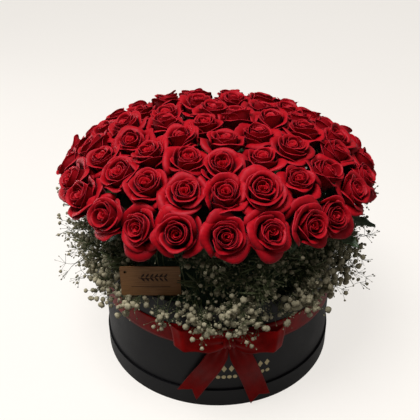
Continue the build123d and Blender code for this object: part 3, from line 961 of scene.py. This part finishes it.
class FLOWERBOX_OT_leaves(bpy.types.Operator):
    """Cuts the rose leaves that look out from under the dome"""
    bl_idname = "flowerbox.leaves"
    bl_label = "Rose leaves"

    def execute(self, context):
        green = leaf_material()
        shape = Shape()
        for order, (centre, spread, area, verts) in enumerate(islands("rose_leaves")):
            flat = Vector((centre[0], centre[1], 0.0)).normalized()
            drooped = 0.030 if centre[0] > 0.20 else 0.0
            centre = np.array(centre) - np.array(flat) * 0.4 * drooped - np.array([0.0, 0.0, drooped])
            reach = (verts - centre) @ np.array(flat)
            length = (reach.max() - reach.min()) * 1.04
            side = np.array(Vector((0, 0, 1)).cross(flat))
            width = np.ptp((verts - centre) @ side)
            rows, columns = 25, 11
            level = np.linspace(0.0, 1.0, rows)
            outline = np.sin(np.pi * level ** 0.85) ** 0.75 * (1 + 0.05 * np.sin(level * 95))
            across = np.linspace(-1.0, 1.0, columns)
            half = np.maximum(width / 2 * outline, 0.0004)
            along = (level - 0.5) * length
            fold = 0.0035 * np.abs(across) - 0.0012
            sag = -0.005 * level ** 2 - 0.004 * (level - 0.5)
            wavy = 0.0012 * np.sin(level[:, None] * 17 + order) * np.abs(across) ** 2
            points = (centre + np.array(flat) * along[:, None, None]
                      + side * (half[:, None] * across)[..., None]
                      + np.array([0.0, 0.0, 1.0]) * (sag[:, None] + fold[None] + wavy)[..., None])
            sheet, faces = closed_sheet(points, 0.0005)
            shape.add(sheet, faces, along=np.tile(np.repeat(level, columns), 2),
                      across=np.tile(across, 2 * rows))
            foot = points[0, columns // 2]
            stalk = [foot + np.array(flat) * -0.045 + np.array([0, 0, 0.004]),
                     foot + np.array(flat) * -0.02 + np.array([0, 0, 0.001]), foot]
            sheet, faces = tube(stalk, [0.0009, 0.0008, 0.0007], 6)
            shape.add(sheet, faces, along=0.0, across=0.0)
        shape.build("leaves", green, "arrangement", "leaf", ["rose_leaves"])
        return {"FINISHED"}


def puff_template(rng, ruffle):
    """A double floret: a small ball of crimped petals, closed, radius one, opening along +Z."""
    work = bmesh.new()
    bmesh.ops.create_icosphere(work, subdivisions=2 if ruffle else 1, radius=1.0)
    verts = np.array([vert.co[:] for vert in work.verts])
    faces = [[vert.index for vert in face.verts] for face in work.faces]
    work.free()
    if ruffle:
        turn = np.arctan2(verts[:, 1], verts[:, 0])
        rise = verts[:, 2]
        crimp = np.abs(np.sin(turn * 2.5 + 2.2 * np.round(rise * 2.2) + rng.uniform(0, 6)))
        size = 0.72 + 0.30 * crimp + rng.uniform(-0.09, 0.09, len(verts))
        verts = verts * size[:, None]
        verts[:, 2] = np.where(rise > 0.5, verts[:, 2] * 0.80, verts[:, 2])
        verts[:, 2] = np.where(rise < -0.6, verts[:, 2] * 1.15, verts[:, 2])
    else:
        verts = verts * np.array([0.8, 0.8, 1.15])
    return verts, faces


class FLOWERBOX_OT_gypsophila(bpy.types.Operator):
    """Grows the gypsophila sprigs over the rim, with their stalks, florets and buds"""
    bl_idname = "flowerbox.gypsophila"
    bl_label = "Gypsophila"

    def execute(self, context):
        settings = context.scene.flowerbox_sprig
        cream = floret_material(settings)
        stalk = plant_material("Gypsophila stalk", settings.stalk_colour[:],
                               scaled(settings.stalk_colour, 1.6), 0.6)
        dress("gypsophila_stems", stalk)
        sectors = [node for node in sorted(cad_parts)
                   if node.startswith("gypsophila_") and node != "gypsophila_stems"]
        for order, node in enumerate(sectors):
            rng = np.random.default_rng(SEED + order)
            self.grow(node, rng, settings, cream, stalk)
        return {"FINISHED"}

    def grow(self, node, rng, settings, cream, stalk):
        """One eighth of the collar: a dense low fringe over the rim, a dim leafy tier above it whose florets
        are darkened as painted shade.
        """
        low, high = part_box(node)
        middle = (low + high) / 2
        centre_turn = math.atan2(middle.x, -middle.y)
        loose = node in ("gypsophila_left", "gypsophila_right")
        blooms, stalks = Shape(), Shape()
        puffs = [puff_template(rng, True) for _ in range(6)]
        bud = puff_template(rng, False)
        sprigs = settings.sprigs_per_sector
        tiers = [("fringe", 2 * sprigs // 3), ("shade", 2 * sprigs // 3)]
        if loose:
            tiers = [("fringe", sprigs // 2), ("shade", sprigs // 2), ("stray", sprigs)]
        hem = 0.148 if node == "gypsophila_front" else 0.160
        for tier, count in tiers:
            grown, tries = 0, 0
            while grown < count and tries < 4 * count:
                tries += 1
                turn = centre_turn + SECTOR_HALF * rng.uniform(-1, 1)
                inset = 0.010 if tier == "shade" else 0.0
                root = wall_point(turn, 0.167 - inset + rng.uniform(-0.004, 0.004), RIM_LEVEL + 0.001)
                if tier == "fringe":
                    level = rng.uniform(hem, 0.200)
                    reach = rng.uniform(0.189, 0.208)
                elif tier == "shade":
                    level = rng.uniform(0.200, 0.270)
                    reach = rng.uniform(0.155, 0.200)
                else:
                    level = rng.uniform(0.128, 0.272)
                    reach = rng.uniform(0.200, 0.229) - 0.05 * max(0.0, level - 0.19)
                tip = wall_point(turn + rng.normal(0, 0.05), reach, level)
                arch = wall_point(turn, 0.176 + 0.010 * rng.uniform(0, 1),
                                  max(RIM_LEVEL + 0.014, level + 0.004))
                steps = np.linspace(0.0, 1.0, 7)[:, None]
                line = (1 - steps) ** 2 * root + 2 * (1 - steps) * steps * arch + steps ** 2 * tip
                if any(hides_card(point) for point in line[4:]):
                    continue
                grown += 1
                verts, faces = tube(line, np.linspace(0.0008, 0.0004, 7))
                stalks.add(verts, faces)
                for branch in range(TIERS[tier]["branches"]):
                    at = 1.0 if branch == 0 else rng.uniform(0.40, 1.0)
                    start = (1 - at) ** 2 * root + 2 * (1 - at) * at * arch + at * at * tip
                    self.add_spray(start, rng, settings, blooms, stalks, puffs, bud, tier)
                    if tier == "shade":
                        self.add_blade(start, rng, stalks)
        blooms.build(node + "_florets", cream, "arrangement", "gypsophila", [node])
        stalks.build(node + "_sprigs", stalk, "arrangement", "sprig")

    def add_blade(self, start, rng, stalks):
        """One narrow grey-green leaf of the sprig."""
        heading = rng.normal(0, 1.0, 3)
        heading[2] = abs(heading[2]) * 0.4
        heading /= np.linalg.norm(heading)
        if hides_card(start) or hides_card(start + heading * 0.02):
            return
        level = np.linspace(0.0, 1.0, 6)
        across = np.linspace(-1.0, 1.0, 3)
        length = rng.uniform(0.014, 0.030)
        wide = 0.0016 * np.sin(np.pi * np.clip(level, 0.06, 0.97))
        points = np.stack([wide[:, None] * across, 0.0012 * (across ** 2 - 1) * np.ones((6, 1))
                           + (0.004 * level ** 2)[:, None], (level * length)[:, None] * np.ones(3)], 2)
        verts, faces = closed_sheet(points, 0.0003)
        stalks.add(turned(verts, keep_clear(start), heading, rng.uniform(0, FULL_TURN)), faces)

    def add_spray(self, start, rng, settings, blooms, stalks, puffs, bud, tier):
        """A side branch with a handful of stalked florets."""
        flat = np.array([start[0], start[1], 0.0])
        flat /= np.linalg.norm(flat)
        heading = rng.normal(0, 0.55, 3) + flat * 0.45 + np.array([0, 0, 0.05])
        heading /= np.linalg.norm(heading)
        fork = keep_clear(start + heading * rng.uniform(0.006, 0.015))
        if hides_card(start) or hides_card(fork):
            return
        verts, faces = tube([start, (start + fork) / 2 + rng.normal(0, 0.0008, 3), fork],
                            [0.0004, 0.00035, 0.0003], 4)
        stalks.add(verts, faces)
        ways = TIERS[tier]
        for index in range(rng.integers(3, 7)):
            aim = heading * 0.6 + flat * 0.3 + rng.normal(0, 0.6, 3)
            aim /= np.linalg.norm(aim)
            end = keep_clear(fork + aim * rng.uniform(0.007, 0.018))
            full = rng.random() < ways["full"]
            size = rng.uniform(0.42, ways["largest"]) if full else rng.uniform(0.18, 0.38)
            spin = rng.uniform(0, FULL_TURN)
            which = rng.integers(len(puffs))
            if hides_card(end):
                continue
            verts, faces = tube([fork, end], [0.00025, 0.00025], 4)
            stalks.add(verts, faces)
            verts, faces = puffs[which] if full else bud
            # buds add real green; the shade tier's larger green share is painted shade
            green = ways["green"] + (0.0 if full else 0.30)
            blooms.add(turned(verts * settings.floret_radius * size, end, aim, spin), faces,
                       tone=min(1.0, max(0.0, green + rng.normal(0, 0.15))))


def hides_card(point):
    """Whether a floret would stand in front of the name card, away from its lower right corner."""
    low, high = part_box("tag_card")
    if point[1] > high.y + 0.010 or not low.x - 0.005 < point[0] < high.x + 0.005:
        return False
    return low.z + 0.002 < point[2] < high.z + 0.028 and point[0] < high.x - 0.004


def keep_clear(point):
    """Moves a point out of the wall and the bow, and under the roses."""
    reach = math.hypot(point[0], point[1])
    before_bow = abs(point[0] - KNOT.x) < 0.085 and point[1] < 0.0 and point[2] < KNOT.z + 0.024
    least = BOW_REACH if before_bow else BOX_RADIUS + WALL_GAP
    if point[2] < RIM_LEVEL + 0.004 and reach < least:
        point = np.array([point[0] * least / reach, point[1] * least / reach, point[2]])
    if point[2] > SPRIG_TOP:
        point = np.array([point[0], point[1], SPRIG_TOP])
    return point


class FLOWERBOX_OT_card(bpy.types.Operator):
    """Finishes the wooden name card and its pick, with a plain sprig in place of any wording"""
    bl_idname = "flowerbox.card"
    bl_label = "Name card"

    def execute(self, context):
        dress("tag_card", wood_material("Card veneer", (0.27, 0.125, 0.040), (0.16, 0.066, 0.020)))
        dress("tag_pick", wood_material("Pick wood", (0.42, 0.29, 0.15), (0.28, 0.18, 0.09)))
        low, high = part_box("tag_card")
        burnt = paper_material("Burnt line", (0.022, 0.010, 0.006), (0.04, 0.018, 0.01), 0.7)
        middle = (low + high) / 2
        face = low.y
        shape = Shape()

        def lay(points, width):
            points = np.array([[x, face, z] for x, z in points])
            heading = np.gradient(points, axis=0)
            across = np.stack([-heading[:, 2], np.zeros(len(points)), heading[:, 0]], 1)
            across /= np.linalg.norm(across, axis=1, keepdims=True)
            wide = np.asarray(width)[:, None] / 2
            strip = np.stack([points - across * wide, points + across * wide], 1)
            verts, faces = closed_sheet(strip, 0.0003)
            shape.add(verts, faces)

        steps = np.linspace(-1.0, 1.0, 21)
        lay([(middle.x + 0.026 * s, middle.z - 0.009) for s in steps], np.full(21, 0.0008))
        lay([(middle.x + 0.003 + 0.019 * s, middle.z + 0.006 + 0.002 * math.sin(3 * s)) for s in steps],
            np.full(21, 0.0009))
        for index in range(6):
            base_x = middle.x + 0.003 + 0.019 * (-0.8 + 0.32 * index)
            for sign in (-1, 1):
                blade = np.linspace(0.0, 1.0, 9)
                lay([(base_x + 0.0045 * b, middle.z + 0.006 + sign * 0.0062 * b) for b in blade],
                    0.0026 * np.sin(np.pi * np.clip(blade, 0.04, 0.96)) + 0.0002)
        shape.build("card_ornament", burnt, "tag", "card")
        return {"FINISHED"}


class FLOWERBOX_OT_inside(bpy.types.Operator):
    """Finishes the liner and the floral foam inside the box"""
    bl_idname = "flowerbox.inside"
    bl_label = "Liner and foam"

    def execute(self, context):
        dress("liner", film_material())
        foam = foam_material()
        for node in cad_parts:
            if node.startswith("foam_"):
                dress(node, foam)
        return {"FINISHED"}


class FLOWERBOX_PT_panel(bpy.types.Panel):
    """Buttons for every piece of the flower box"""
    bl_idname = "FLOWERBOX_PT_panel"
    bl_label = "Flower Box"
    bl_space_type = "VIEW_3D"
    bl_region_type = "UI"
    bl_category = "Flower Box"

    def draw(self, context):
        for operator in OPERATORS:
            self.layout.operator(operator.bl_idname)
        for key in SETTINGS:
            column = self.layout.column(align=True)
            group = getattr(context.scene, key)
            for name in group.__annotations__:
                column.prop(group, name)


SETTINGS = {
    "flowerbox_stage": StageSettings,
    "flowerbox_box": BoxSettings,
    "flowerbox_ribbon": RibbonSettings,
    "flowerbox_rose": RoseSettings,
    "flowerbox_sprig": SprigSettings,
}
OPERATORS = (
    FLOWERBOX_OT_stage,
    FLOWERBOX_OT_box,
    FLOWERBOX_OT_ornament,
    FLOWERBOX_OT_ribbon,
    FLOWERBOX_OT_roses,
    FLOWERBOX_OT_leaves,
    FLOWERBOX_OT_gypsophila,
    FLOWERBOX_OT_card,
    FLOWERBOX_OT_inside,
)


def register():
    for key, group in SETTINGS.items():
        bpy.utils.register_class(group)
        setattr(bpy.types.Scene, key, bpy.props.PointerProperty(type=group))
    for operator in OPERATORS:
        bpy.utils.register_class(operator)
    bpy.utils.register_class(FLOWERBOX_PT_panel)


def unregister():
    bpy.utils.unregister_class(FLOWERBOX_PT_panel)
    for operator in reversed(OPERATORS):
        bpy.utils.unregister_class(operator)
    for key, group in SETTINGS.items():
        delattr(bpy.types.Scene, key)
        bpy.utils.unregister_class(group)


def main():
    register()
    for operator in OPERATORS:
        group, name = operator.bl_idname.split(".")
        getattr(getattr(bpy.ops, group), name)()


if __name__ == "__main__":
    main()
